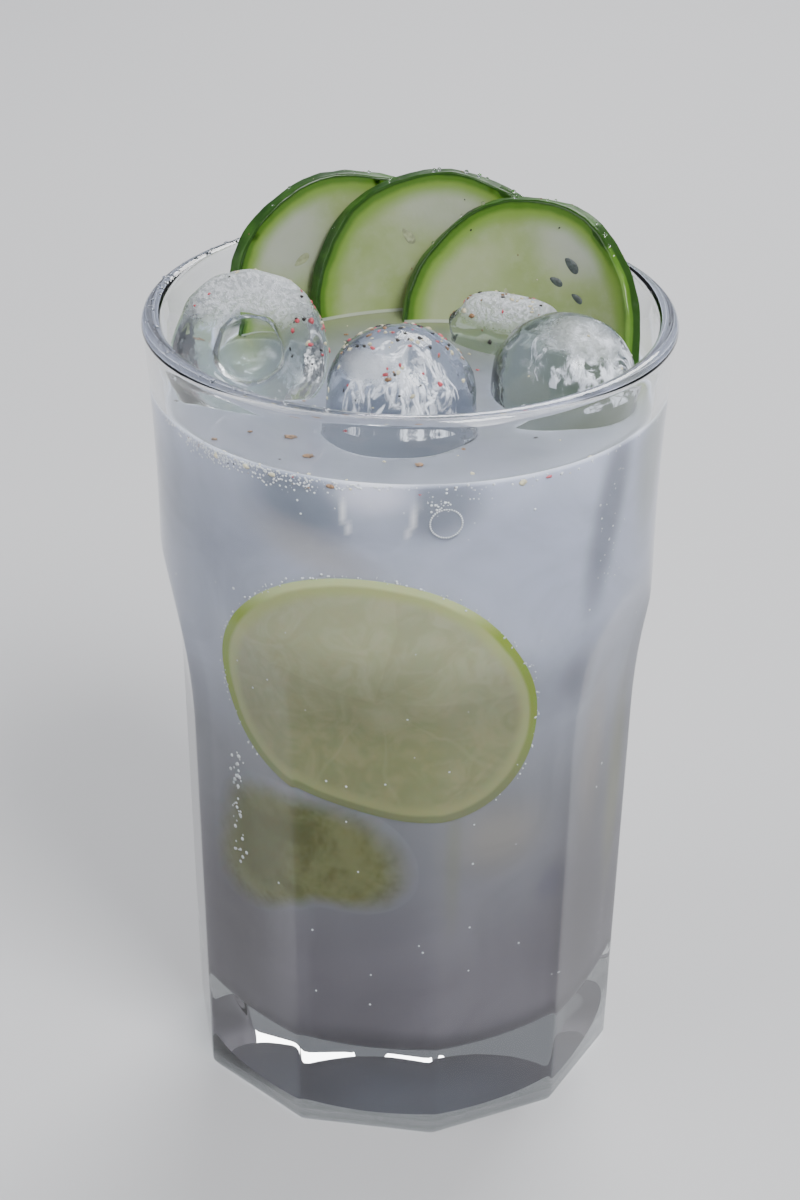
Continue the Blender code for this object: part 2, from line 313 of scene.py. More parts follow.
def floor_curve():
    """Heights up the rounding between the drink's floor and its side."""
    return [FLOOR + FLOOR_ROUNDING * (1 - math.cos(math.radians(t))) for t in steps(10, 90, 10)]


def skin(rings, start, end):
    """A closed surface through rings of points, drawn in to a point at each end."""
    bm = bmesh.new()
    rows = [[bm.verts.new(Vector(p) * MM) for p in ring] for ring in rings]
    count = len(rows[0])
    for low, high in zip(rows, rows[1:]):
        for i in range(count):
            j = (i + 1) % count
            bm.faces.new((low[i], low[j], high[j], high[i]))
    for tip, row in ((start, rows[0]), (end, rows[-1])):
        point = bm.verts.new(Vector(tip) * MM)
        for i in range(count):
            bm.faces.new((row[i], row[(i + 1) % count], point))
    return bm


def ball(radius, subdivisions):
    part = bmesh.new()
    bmesh.ops.create_icosphere(part, subdivisions=subdivisions, radius=radius * MM)
    return part


def moved(bm, spot_on):
    bm.transform(Matrix.Translation(Vector(spot_on) * MM))
    return bm


def z_along(normal):
    return Vector(normal).to_track_quat("Z", "Y").to_matrix().to_4x4()


def show(name, data):
    obj = bpy.data.objects.new(name, data)
    bpy.context.scene.collection.objects.link(obj)
    return obj


def give_places(bm, name, places):
    """Writes where each point lies on its slice as UVs. The two tips come last and are its middle."""
    layer = bm.loops.layers.uv.new(name)
    bm.verts.index_update()
    for face in bm.faces:
        for loop in face.loops:
            index = loop.vert.index
            loop[layer].uv = places[index] if index < len(places) else (0.0, 0.0)


def make_piece(name, bm, materials, replaced=None, sharp=None):
    bmesh.ops.recalc_face_normals(bm, faces=bm.faces)
    mesh = bpy.data.meshes.new(name)
    bm.to_mesh(mesh)
    bm.free()
    for material in materials:
        mesh.materials.append(material)
    mesh.shade_smooth()
    if sharp:
        mesh.set_sharp_from_angle(angle=math.radians(sharp))
    obj = show(name, mesh)
    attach(obj, "root")
    if replaced:
        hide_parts(replaced)
    return obj


def glass_material():
    shader = Shader("tumbler_glass")
    shader.set(Base_Color=(0.97, 0.985, 0.99, 1.0), Roughness=0.012, IOR=1.5, Transmission_Weight=1.0)
    waves = shader.noise(26.0, 2.0, 0.4)
    shader.bump(waves, 0.05, 0.25)
    return shader.let_lamps_through((0.93, 0.95, 0.96)).material


def make_glass():
    angles = []
    for facet in range(FACETS):
        for i in range(POINTS_ON_FACET):
            share = 0.5 + 0.5 * math.sin(math.pi * (i / POINTS_ON_FACET - 0.5))
            angles.append(FACET_EDGE_ANGLE + math.tau * (facet + share) / FACETS)
    rings = []
    radius, depth = PUNT
    for share in (0.25, 0.5, 0.75, 0.9, 1.0):
        hollow = depth * (1 + math.cos(math.pi * share)) / 2
        rings.append([at(a, radius * share, hollow) for a in angles])
    for turn in steps(0, 90, 6):
        inset = FOOT_ROUNDING * (1 - math.sin(math.radians(turn)))
        z = FOOT_ROUNDING * (1 - math.cos(math.radians(turn)))
        rings.append([at(a, outer_radius(a, z) - inset, z) for a in angles])
    heights = steps(4.0, SCOOP_BASE, 10) + steps(71.0, BAND_BASE + 1, 44)
    heights += steps(BAND_BASE + 3, HEIGHT - RIM_WALL / 2 - 1, 14)
    for z in heights:
        rings.append([at(a, outer_radius(a, z), z) for a in angles])
    lip = RIM_WALL / 2
    for turn in steps(0, 180, 14):
        r = RIM_RADIUS - lip + lip * math.cos(math.radians(turn))
        rings.append([at(a, r, HEIGHT - lip + lip * math.sin(math.radians(turn))) for a in angles])
    inside = floor_curve() + steps(24.0, 75.0, 8) + steps(*SHOULDER, 16) + steps(100.0, 136.0, 10)
    for z in reversed(inside):
        rings.append([at(a, inner_radius(z), z) for a in angles])
    bm = skin(rings, (0, 0, depth), (0, 0, FLOOR))
    return make_piece("tumbler", bm, [glass_material()], "glass")


def liquid_material(name, rough, gloss):
    """Cloudy drink. What shows dimly through it, and painted light and shade, are painted on its vertices by
    paint_drink.
    """
    shader = Shader(name)
    shader.set(Roughness=rough, IOR=1.33, Specular_IOR_Level=gloss)
    shader.set(Subsurface_Weight=0.45, Subsurface_Scale=0.004, Subsurface_Radius=(1.0, 1.0, 1.1))
    paint = shader.node("ShaderNodeVertexColor", layer_name="paint").outputs["Color"]
    swirl = shader.noise(45.0, 4.0, 0.55, distortion=1.2)
    shade = shader.ramp(swirl, 0.3, 0.7, 0.90, 1.06)
    shader.feed("Base Color", shader.scaled(paint, shade))
    if gloss > 0.2:
        shader.bump(shader.noise(90.0, 2.0, 0.5), 0.25, 0.5)
    return shader.material


def blend(under, over, share):
    share = min(max(share, 0.0), 1.0)
    return tuple(u + (o - u) * share for u, o in zip(under, over))


def oval(a, z, middle, half, tilt=0.0, soft=0.5):
    """1 inside an oval on the wall (degrees and millimetres), falling softly to 0 outside it."""
    x, y = a - middle[0], z - middle[1]
    c, s = math.cos(math.radians(tilt)), math.sin(math.radians(tilt))
    reach = math.hypot((x * c + y * s) / half[0], (y * c - x * s) / half[1])
    return smooth_step((1 + soft - reach) / (2 * soft))


def wall_colour(a, z):
    """The drink through the glass: a in degrees from the front, z in millimetres."""
    wander = 3 * noise.noise(Vector((a / 22, z / 16, 3.0)))
    # painted shade and light: the drink darker towards the floor and lighter towards the top
    colour = blend(LOW_DRINK, MID_DRINK, smooth_step((z + wander - 28) / 36))
    colour = blend(colour, HIGH_DRINK, smooth_step((z + wander - 62) / 40))
    # painted light and shade: the facets bend and reflect the light a little differently, so each is painted
    # with its own shade of the drink
    turn = (a - math.degrees(FACET_EDGE_ANGLE)) / (360 / FACETS)
    facet = math.floor(turn)
    across = turn - facet
    own, left, right = (FACET_SHADE * math.sin(2.4 * (facet + i)) for i in (0, -1, 1))
    shade = own + (left - own) * 0.5 * smooth_step(1 - across / FACET_BLEND)
    shade += (right - own) * 0.5 * smooth_step((across - 1 + FACET_BLEND) / FACET_BLEND)
    shade = 1 + shade * smooth_step((SHOULDER[1] - z) / 22)
    colour = tuple(c * shade for c in colour)
    for middle, half, tilt, soft, tint, share in HAZES_AND_SHADE:
        colour = blend(colour, tint, share * oval(a, z, middle, half, tilt, soft))
    # the rounded lower end of the middle ice, with a painted highlight down each side
    side = abs(a - ICE_END[0]) / ICE_END[2]
    down = max(ICE_END[1] + ICE_END[3] - z, 0.0) / ICE_END[3]
    reach = math.hypot(side, down)
    fade = smooth_step((LEVEL + 3 - z) / 5)
    colour = blend(colour, (0.36, 0.385, 0.475), 0.85 * smooth_step((1.06 - reach) / 0.14) * fade)
    colour = blend(colour, (0.62, 0.62, 0.70), 0.7 * oval(a, z, (-8.0, 126.0), (7.0, 3.2), 0.0, 0.7))
    # painted highlight: a light line down each side of the ice's end
    line = smooth_step((0.10 - abs(reach - 0.96)) / 0.08) * smooth_step((side - 0.62) / 0.2)
    line *= oval(0, z, (0, ICE_END[1] + 5.5), (1, 3.4), 0.0, 0.4)
    return blend(colour, (0.80, 0.80, 0.82), 0.8 * line)


def paint_drink(mesh, slices):
    """Paints the wall through wall_colour, and the top with the green of the slices that go down into it."""
    trees = [tree_of(obj) for obj in slices.values()]
    layer = mesh.color_attributes.new("paint", "FLOAT_COLOR", "POINT")
    for vert in mesh.vertices:
        x, y, z = (c / MM for c in vert.co)
        radius = math.hypot(x, y)
        a = math.degrees(math.atan2(x, -y))
        if radius > inner_radius(z) - 0.4 and z < LEVEL + 1.5:
            colour = wall_colour(a, z)
        else:
            near = min(tree.find_nearest(vert.co)[3] for tree in trees) / MM
            wander = 2.5 * noise.noise(Vector((x / 6, y / 6, 0.0)))
            colour = blend(TOP_DRINK, TOP_GREEN, 1.15 * math.exp(-max(near + wander, 0.0) / 9.0))
        layer.data[vert.index].color = (*colour, 1.0)


def make_drink(rooms, slices):
    angles = [math.tau * i / DRINK_SIDES for i in range(DRINK_SIDES)]
    rings = []
    heights = floor_curve() + steps(23.0, SHOULDER[0] - 1, 40) + steps(*SHOULDER, 18)
    heights += steps(SHOULDER[1] + 1, LEVEL, 34)
    for z in heights:
        rings.append([at(a, inner_radius(z) + INTO_WALL, z) for a in angles])
    width, rise = MENISCUS
    edge = inner_radius(LEVEL)
    rings.append([at(a, inner_radius(LEVEL + rise) + INTO_WALL, LEVEL + rise) for a in angles])
    for t in (0.15, 0.35, 0.6, 0.8, 1.0):
        rings.append([at(a, edge - width * t, LEVEL + rise * (1 - t) ** 2.2) for a in angles])
    for share in steps(0.97, 0.05, 32):
        rings.append([at(a, (edge - width) * share, LEVEL) for a in angles])
    bm = skin(rings, (0, 0, FLOOR - INTO_WALL), (0, 0, LEVEL))
    materials = [liquid_material("drink_side", 0.5, 0.1), liquid_material("drink_top", 0.06, 0.5)]
    obj = make_piece("drink_body", bm, materials, "drink")
    top = LEVEL - 0.5
    for face in obj.data.polygons:
        if face.normal.z > 0.35 and face.center.z > top * MM:
            face.material_index = 1
    group = bpy.data.collections.new("rooms")
    bpy.context.scene.collection.children.link(group)
    for room in rooms:
        for owner in list(room.users_collection):
            owner.objects.unlink(room)
        group.objects.link(room)
    cut = obj.modifiers.new("rooms", "BOOLEAN")
    cut.operation = "DIFFERENCE"
    cut.operand_type = "COLLECTION"
    cut.collection = group
    cut.solver = "EXACT"
    graph = bpy.context.evaluated_depsgraph_get()
    joined = bpy.data.meshes.new_from_object(obj.evaluated_get(graph))
    obj.modifiers.clear()
    obj.data = joined
    for room in rooms:
        bpy.data.objects.remove(room, do_unlink=True)
    bpy.data.collections.remove(group)
    paint_drink(obj.data, slices)
    return obj


def thimble(radius, length, hole, depth, grow, lumps, sides, rough):
    """Moulded ice, open end at z = 0 and domed end up. rough is the depth of the melted surface's dimples."""
    side = length - 0.85 * radius
    profile = [(0.86 * radius, 0.0), (0.95 * radius, 0.02 * radius), (radius, 0.09 * radius)]
    for z in steps(0.2 * side, 0.9 * side, 8):
        profile.append((radius * (1 - 0.05 * z / side), z))
    for turn in steps(0, 86, 14):
        r = 0.95 * radius * math.cos(math.radians(turn))
        profile.append((r, side + (length - side) * math.sin(math.radians(turn))))
    if hole:
        inner = [(hole * 1.3, 0.0), (hole * 1.12, 0.4), (hole * 1.04, 1.5)]
        inner += [(hole * (1 - 0.1 * t), 0.75 * depth * t) for t in steps(0.2, 1.0, 7)]
        for turn in steps(12, 84, 6):
            r = 0.9 * hole * math.cos(math.radians(turn))
            inner.append((r, 0.75 * depth + 0.25 * depth * math.sin(math.radians(turn))))
        profile = list(reversed(inner)) + profile
    rings = []
    for r, z in profile:
        ring = []
        for i in range(sides):
            a = math.tau * i / sides
            wave = 0.014 * math.sin(3 * a + lumps + 0.2 * z) + 0.01 * math.sin(5 * a - 2 * lumps)
            x, y = math.cos(a), math.sin(a)
            dimple = rough * noise.noise(Vector((r * x / 3.1, r * y / 3.1, z / 3.1 + 9 * lumps)))
            spread = r * (1 + wave) + grow + dimple
            ring.append((spread * x, spread * y, z - (grow if z < 0.05 * length else 0.0)))
        rings.append(ring)
    start = (0, 0, depth) if hole else (0, 0, -grow - 0.4)
    return skin(rings, start, (0, 0, length + grow))


def chunk(grow, sides, rows, rough):
    rings = []
    for row in range(1, rows):
        tilt = math.pi * row / rows
        ring = []
        for i in range(sides):
            a = math.tau * i / sides
            wave = 1 + 0.05 * math.sin(3 * a + 2 * tilt) + 0.03 * math.sin(4 * a - 3 * tilt)
            across = math.copysign(abs(math.cos(a)) ** 0.8, math.cos(a))
            along = math.copysign(abs(math.sin(a)) ** 0.8, math.sin(a))
            size = wave * math.sin(tilt) ** 0.6
            x = (CHUNK_HALF[0] * size + grow) * across
            y = (CHUNK_HALF[1] * size + grow) * along
            z = -(CHUNK_HALF[2] + grow) * math.cos(tilt)
            dimple = 1 + rough * noise.noise(Vector((x / 2.6, y / 2.6, z / 2.6)))
            ring.append((x * dimple, y * dimple, z))
        rings.append(ring)
    return skin(rings, (0, 0, -CHUNK_HALF[2] - grow), (0, 0, CHUNK_HALF[2] + grow))


def turned_by(degrees):
    return Euler([math.radians(d) for d in degrees]).to_matrix()


def placed(bm, middle, degrees):
    bm.transform(Matrix.Translation(Vector(middle) * MM) @ turned_by(degrees).to_4x4())
    return bm


def veil_material():
    """White cracks and trapped air inside the ice: see-through between the streaks."""
    shader = Shader("ice_veil")
    shader.set(Base_Color=(0.93, 0.93, 0.97, 1.0), Roughness=0.35, Specular_IOR_Level=0.6)
    stretched = shader.node("ShaderNodeMapping", {"Vector": shader.place(), "Scale": (1.0, 1.0, 0.45)})
    streaks = shader.noise(330.0, 5.0, 0.6, stretched.outputs[0], 1.6)
    shader.feed("Alpha", shader.ramp(streaks, 0.47, 0.61, 0.0, 0.9))
    shader.bump(streaks, 0.8, 0.8)
    return shader.material


def make_veils():
    """Crumpled caps inside the middle and right ice, under their domes."""
    whole = bmesh.new()
    for order, (middle, radius, height, lowest, start, end) in enumerate(VEILS):
        rows = []
        for tilt in steps(2, 78, 26):
            row = []
            for turn in steps(start, end, 60):
                t, a = math.radians(tilt), math.radians(turn)
                place = Vector((math.sin(t) * math.sin(a), -math.sin(t) * math.cos(a), math.cos(t)))
                crumple = 1 + 0.16 * noise.noise(place * 3.2 + Vector((order * 5.0, 0, 0)))
                spot_at = Vector((place.x * radius, place.y * radius, place.z * height)) * crumple
                row.append(whole.verts.new((Vector(middle) + spot_at + Vector((0, 0, lowest))) * MM))
            rows.append(row)
        for above, below in zip(rows, rows[1:]):
            for i in range(len(above) - 1):
                whole.faces.new((above[i], above[i + 1], below[i + 1], below[i]))
    make_piece("ice_veils", whole, [veil_material()])


def ice_material(name, frost, frost_middle, frost_half):
    """Wet ice: clear skin, uneven inside, and a frosty white patch with a grainy surface."""
    shader = Shader(name)
    shader.set(IOR=1.31, Specular_IOR_Level=0.6)
    veins = shader.noise(210.0, 6.0, 0.65, distortion=2.5)
    cloud = shader.noise(120.0, 4.0, 0.6)
    patch = shader.blob(frost_middle, frost_half, 0.8)
    grain = shader.noise(1500.0, 3.0, 0.7)
    broken = shader.math("MULTIPLY", patch, shader.ramp(grain, 0.38, 0.60, 0.50, 1.0))
    white = shader.math("MAXIMUM", shader.math("MULTIPLY", shader.ramp(veins, 0.56, 0.74), 0.5), broken)
    white = shader.math("MULTIPLY", white, frost)
    shader.feed("Base Color", shader.mix(white, (0.86, 0.90, 0.94), (0.84, 0.86, 0.91)))
    shader.feed("Roughness", shader.math("ADD", shader.ramp(cloud, 0.3, 0.75, 0.02, 0.14), broken))
    shader.feed("Transmission Weight", shader.ramp(white, 0.0, 1.0, 1.0, 0.25))
    bumps = shader.math("ADD", cloud, shader.math("MULTIPLY", broken, 1.5))
    shader.bump(bumps, 0.45, 0.6)
    return shader.let_lamps_through((0.86, 0.89, 0.92)).material


def hollow_material():
    """The frosted wall of the hollow inside a moulded ice piece."""
    shader = Shader("ice_hollow")
    shader.set(IOR=1.31)
    streaks = shader.noise(170.0, 3.0, 0.5, distortion=0.6)
    white = shader.ramp(streaks, 0.52, 0.72)
    shader.feed("Base Color", shader.mix(white, (0.80, 0.84, 0.86), (0.86, 0.88, 0.90)))
    shader.feed("Transmission Weight", shader.ramp(white, 0.0, 1.0, 1.0, 0.6))
    shader.feed("Roughness", shader.ramp(streaks, 0.3, 0.7, 0.03, 0.12))
    shader.bump(streaks, 0.35, 0.5)
    return shader.let_lamps_through((0.86, 0.89, 0.92)).material


def make_ice():
    frosts = {
        "ice_left": (1.0, (-26.3, -3.5, 144.5), (12.5, 5.0, 6.5)),
        "ice_middle": (0.5, (-6.0, -20.0, 139.0), (5.0, 5.0, 2.0)),
        "ice_right": (0.6, (28.0, -7.0, 137.5), (6.0, 5.0, 3.5)),
    }
    hollow = hollow_material()
    pieces = {}
    rooms = []
    for order, (name, middle, turn, radius, length, hole, depth) in enumerate(ICE):
        bm = placed(thimble(radius, length, hole, depth, 0.0, order, 72, 0.35), middle, turn)
        material = ice_material(f"{name}_ice", *frosts[name])
        obj = make_piece(f"{name}_piece", bm, [material, hollow], name)
        back = turned_by(turn).transposed()
        for face in obj.data.polygons:
            local = back @ (Vector(face.center) / MM - Vector(middle))
            if math.hypot(local.x, local.y) < hole * 1.12 and local.z < depth + 1:
                face.material_index = 1
        pieces[name] = obj
        room = placed(thimble(radius, length, 0.0, 0.0, 0.12, order, 48, 0.0), middle, turn)
        rooms.append(make_piece(f"{name}_room", room, []))
    turn = (0.0, 0.0, CHUNK_TURN)
    bm = placed(chunk(0.0, 64, 30, 0.1), CHUNK_MIDDLE, turn)
    material = ice_material("ice_back_ice", 0.9, (16.0, 14.5, 135.0), (10.0, 6.0, 3.5))
    pieces["ice_back"] = make_piece("ice_back_piece", bm, [material], "ice_back")
    room = placed(chunk(0.12, 40, 14, 0.0), CHUNK_MIDDLE, turn)
    rooms.append(make_piece("ice_back_room", room, []))
    return pieces, rooms


def slice_outline(angle, order):
    return 1 + 0.010 * math.sin(3 * angle + order) + 0.007 * math.sin(8 * angle + 2 * order)


def bent(across, depth, up, bend):
    turn = across / bend
    reach = bend + depth
    return (reach * math.sin(turn), reach * math.cos(turn) - bend, up)


def cucumber_material():
    shader = Shader("cucumber_flesh")
    shader.set(Roughness=0.22, IOR=1.38, Subsurface_Weight=0.35, Subsurface_Scale=0.003)
    shader.set(Subsurface_Radius=(0.8, 1.0, 0.4))
    _, reach = shader.on_slice("slice")
    edge = shader.math("ADD", reach, shader.math("MULTIPLY", shader.noise(300.0, 3.0), 0.035))
    soft = shader.noise(70.0, 3.0, 0.5)
    fine = shader.noise(420.0, 4.0, 0.6)
    flesh = shader.mix(shader.ramp(soft, 0.42, 0.62), (0.300, 0.375, 0.150), (0.375, 0.430, 0.235))
    flesh = shader.mix(shader.math("MULTIPLY", shader.ramp(fine, 0.45, 0.7), 0.2), flesh, (0.44, 0.48, 0.34))
    for middle, half, share, colour in PALE_PATCHES:
        pale = shader.blob(middle, half, 1.2)
        flesh = shader.mix(shader.math("MULTIPLY", pale, share), flesh, colour)
    inner = shader.mix(shader.ramp(edge, 0.78, 0.93), flesh, (0.205, 0.330, 0.060))
    rim = shader.mix(shader.ramp(edge, 0.915, 0.96), inner, (0.085, 0.190, 0.020))
    rim = shader.mix(shader.ramp(edge, 0.97, 1.0), rim, (0.022, 0.065, 0.008))
    height = shader.height()
    over = shader.math("ABSOLUTE", shader.math("SUBTRACT", height, (LEVEL + 0.25) * MM))
    wet = shader.math("MULTIPLY", shader.ramp(over, 0.0004, 0.0002), 0.6)
    shader.feed("Base Color", shader.mix(wet, rim, (0.60, 0.63, 0.57)))
    shader.bump(fine, 0.25, 0.3)
    return shader.material


def peel_material():
    shader = Shader("cucumber_peel")
    shader.set(Roughness=0.42, IOR=1.4)
    patches = shader.noise(150.0, 4.0, 0.6)
    green = shader.mix(shader.ramp(patches, 0.35, 0.7), (0.012, 0.050, 0.005), (0.045, 0.135, 0.014))
    shader.feed("Base Color", green)
    shader.bump(shader.noise(500.0, 3.0), 0.4, 0.4)
    return shader.material


def make_slices():
    materials = [cucumber_material(), peel_material()]
    sides, rows = 128, 14
    pieces = {}
    for order, (name, middle, turn, lean, half_width, half_height, bend) in enumerate(SLICES):
        rings = []
        shares = []
        edge = [(SLICE_EDGE * (1 - math.sin(math.radians(t))), SLICE_EDGE * (1 - math.cos(math.radians(t))))
                for t in steps(0, 90, 5)]
        for depth_side in (0, 1):
            part = [(d, 1.0, i) for i, d in edge]
            flat = [(0.0, share, None) for share in steps(0.07, 0.965, rows)]
            row = flat + part
            if not depth_side:
                row += [(depth, 1.0, 0.0) for depth in (0.9, 1.3, 1.7, 2.1)]
            else:
                row = [(SLICE_THICKNESS - d, share, inset) for d, share, inset in reversed(row)]
            for depth, share, inset in row:
                ring = []
                for i in range(sides):
                    a = math.tau * i / sides
                    lobes = slice_outline(a, order)
                    x, y = math.cos(a), math.sin(a)
                    bumps = noise.noise(Vector((9 * x, 9 * y, 3.0 * order + 0.5 * depth)))
                    cut = (inset or 0.0) + (0.16 + 0.22 * bumps if share > 0.97 else 0.0)
                    ripple = 0.10 * noise.noise(Vector((share * x * 5, share * y * 5, order * 7.0)))
                    ripple = ripple * (1 - share**4) * (1 if depth_side == 0 else -1)
                    across = (half_width * lobes * share - cut) * x
                    up = (half_height * lobes * share - cut) * y
                    ring.append(bent(across, depth + max(ripple, 0.0), up, bend))
                rings.append(ring)
                shares.append((share - (inset or 0.0) / half_width, depth))
        bm = skin(rings, bent(0, 0, 0, bend), bent(0, SLICE_THICKNESS, 0, bend))
        places = []
        for share, depth in shares:
            for i in range(sides):
                a = math.tau * i / sides
                reach = share
                if share > 0.965 and math.cos(a) > SHOWN_RIM:
                    shown = smooth_step((math.cos(a) - SHOWN_RIM) / 0.35)
                    reach = 1 - shown * (1 - min(share, 0.925 + 0.075 * smooth_step((depth - 0.5) / 1.2)))
                places.append((reach * math.cos(a), reach * math.sin(a)))
        give_places(bm, "slice", places)
        first_side = rows + 4
        last_side = len(shares) - rows - 5
        for face in bm.faces:
            rows_here = [v.index // sides for v in face.verts]
            turn_here = math.tau * (face.verts[0].index % sides) / sides
            on_side = min(rows_here) >= first_side and max(rows_here) <= last_side
            if on_side and math.cos(turn_here) <= SHOWN_RIM:
                face.material_index = 1
        placed(bm, middle, (-lean, 0.0, turn))
        pieces[name] = make_piece(f"{name}_slice", bm, materials, name)
    return pieces


def flat_colour(name, colour, rough, variety=0.35, scale=900.0):
    shader = Shader(name)
    shader.set(Roughness=rough)
    darker = tuple(c * (1 - variety) for c in colour)
    shader.feed("Base Color", shader.mix(shader.ramp(shader.noise(scale, 3.0), 0.35, 0.65), darker, colour))
    shader.bump(shader.noise(scale * 2, 2.0), 0.5, 0.2)
    return shader.material


def make_seeds():
    """Dark seeds in the right slice, and paler ones in the others, set flush in the front face."""
    dark = flat_colour("seed_dark", (0.085, 0.105, 0.10), 0.25)
    pale = flat_colour("seed_pale", (0.40, 0.44, 0.26), 0.3)
    sets = (("cucumber_seeds_dark", dark, DARK_SEEDS), ("cucumber_seeds_pale", pale, PALE_SEEDS))
    for name, material, seeds in sets:
        whole = bmesh.new()
        for order, across, up, tilt, half in seeds:
            _, middle, turn, lean, _, _, bend = SLICES[order]
            seed = ball(1.0, 3)
            for vert in seed.verts:
                vert.co.x *= 1 - 0.35 * vert.co.y / MM
            shape = Matrix.Diagonal((0.42 * half, half, 0.15, 1.0))
            upright = Matrix.Rotation(math.radians(90), 4, "X") @ Matrix.Rotation(math.radians(tilt), 4, "Z")
            seed.transform(upright @ shape)
            seed.transform(Matrix.Rotation(-across / bend, 4, "Z"))
            moved(seed, bent(across, 0.08, up, bend))
            join(whole, placed(seed, middle, (-lean, 0.0, turn)))
        make_piece(name, whole, [material])


def join(whole, part):
    """Adds one mesh to another, and frees the one added."""
    verts = {v: whole.verts.new(v.co) for v in part.verts}
    for face in part.faces:
        whole.faces.new([verts[v] for v in face.verts])
    part.free()


def wheel_material():
    """A lime wheel behind a thin film of cloudy drink."""
    shader = Shader("lime_wheel")
    shader.set(Roughness=0.5, Specular_IOR_Level=0.1, Subsurface_Weight=0.5, Subsurface_Scale=0.003)
    spot, reach = shader.on_slice("fruit")
    split = shader.node("ShaderNodeSeparateXYZ", {0: spot})
    turn = shader.math("ARCTAN2", split.outputs["Y"], split.outputs["X"])
    bend = shader.math("MULTIPLY", shader.math("SUBTRACT", shader.noise(60.0, 2.0), 0.5), 0.5)
    turned = shader.math("MULTIPLY", shader.math("ADD", turn, bend), SEGMENTS / math.tau)
    part = shader.math("FRACT", turned)
    gap = shader.math("ABSOLUTE", shader.math("SUBTRACT", part, 0.5))
    line = shader.math("MULTIPLY", shader.ramp(gap, 0.44, 0.5), shader.ramp(reach, 0.06, 0.3))
    number = {"W": shader.math("FLOOR", turned)}
    chance = shader.node("ShaderNodeTexWhiteNoise", number, noise_dimensions="1D").outputs["Value"]
    tone = shader.ramp(chance, 0.0, 1.0, 0.955, 1.035)
    wobble = shader.math("ADD", reach, shader.math("MULTIPLY", shader.noise(160.0, 3.0), 0.02))
    pulp = shader.noise(160.0, 5.0, 0.6, distortion=1.5)
    height = shader.height()
    flesh = shader.mix(shader.ramp(pulp, 0.35, 0.7), (0.200, 0.212, 0.095), (0.250, 0.250, 0.125))
    upper = shader.mix(shader.ramp(pulp, 0.35, 0.7), (0.330, 0.345, 0.205), (0.385, 0.390, 0.255))
    flesh = shader.mix(shader.ramp(height, 0.076, 0.100), flesh, upper)
    flesh = shader.mix(shader.math("MULTIPLY", line, 0.14), flesh, (0.36, 0.36, 0.22))
    flesh = shader.scaled(flesh, tone)
    heart = shader.blob((-3.0, -36.0, 84.0), (3.0, 9.0, 3.0), 1.4)
    flesh = shader.mix(shader.math("MULTIPLY", heart, 0.3), flesh, (0.40, 0.40, 0.26))
    pale = shader.mix(shader.ramp(height, 0.066, 0.092), (0.255, 0.265, 0.120), (0.37, 0.40, 0.17))
    pith = shader.mix(shader.ramp(wobble, 0.84, 0.93), flesh, pale)
    low_peel = shader.mix(shader.ramp(height, 0.064, 0.088), (0.150, 0.165, 0.075), (0.225, 0.315, 0.018))
    high_peel = shader.mix(shader.ramp(height, 0.098, 0.107), low_peel, (0.56, 0.60, 0.30))
    shader.feed("Base Color", shader.mix(shader.ramp(wobble, 0.935, 0.968), pith, high_peel))
    return shader.material


def wedge_material():
    shader = Shader("lime_wedge")
    shader.set(Roughness=0.5, Specular_IOR_Level=0.1, Subsurface_Weight=0.5, Subsurface_Scale=0.003)
    _, reach = shader.on_slice("fruit")
    pulp = shader.noise(110.0, 6.0, 0.65, distortion=0.25)
    flesh = shader.mix(shader.ramp(pulp, 0.36, 0.64), (0.076, 0.083, 0.017), (0.150, 0.158, 0.060))
    dark = shader.blob((-24.0, -24.0, 52.0), (4.0, 9.0, 7.0), 1.0)
    flesh = shader.mix(shader.math("MULTIPLY", dark, 0.7), flesh, (0.070, 0.080, 0.012))
    # painted highlight: a pale upright streak where an edge between the glass's facets crosses the wedge
    pale = shader.blob((-21.0, -26.0, 56.0), (3.5, 9.0, 9.0), 1.0)
    flesh = shader.mix(shader.math("MULTIPLY", pale, 0.5), flesh, (0.130, 0.135, 0.060))
    edge = shader.math("ADD", reach, shader.math("MULTIPLY", shader.math("SUBTRACT", pulp, 0.5), 0.3))
    around = shader.node("ShaderNodeVertexColor", layer_name="paint").outputs["Color"]
    shader.feed("Base Color", shader.mix(shader.ramp(edge, 0.66, 1.02), flesh, around))
    return shader.material


def against_wall(name, spot, outline, lift, depth, material):
    """A slice of fruit that lies along the inner wall, just proud of the drink's own surface."""
    angle, height, half_width, half_height = spot
    sides, rows = 120, 16
    radius = inner_radius(height)
    rings = []
    places = []
    for layer, shares in ((lift, steps(0.05, 1.0, rows)), (-depth, (0.99, 0.5))):
        for share in shares:
            ring = []
            for i in range(sides):
                a = math.tau * i / sides
                wave = outline(a) * share
                z = height + half_height * wave * math.sin(a)
                turn = angle + half_width * wave * math.cos(a) / radius
                ring.append(at(turn, inner_radius(z) + layer, z))
                places.append((share * math.cos(a), share * math.sin(a)))
            rings.append(ring)
    bm = skin(rings, at(angle, radius + lift, height), at(angle, radius - depth, height))
    give_places(bm, "fruit", places)
    obj = make_piece(name, bm, [material], sharp=35)
    layer = obj.data.color_attributes.new("paint", "FLOAT_COLOR", "POINT")
    for vert in obj.data.vertices:
        x, y, z = (c / MM for c in vert.co)
        layer.data[vert.index].color = (*wall_colour(math.degrees(math.atan2(x, -y)), z), 1.0)
    return obj


def waved(waves):
    """An oval outline with a few waves in it: (cosine, sine) for one, two, three and four round it."""
    def outline(a):
        return 0.99 + sum(c * math.cos(i * a) + s * math.sin(i * a) for i, (c, s) in enumerate(waves, 1))
    return outline


def make_lime():
    against_wall("lime_wedge", WEDGE, waved(WEDGE_WAVES), 0.08, 1.5, wedge_material())
    against_wall("lime_wheel", WHEEL, waved(WHEEL_WAVES), 0.16, 1.5, wheel_material())


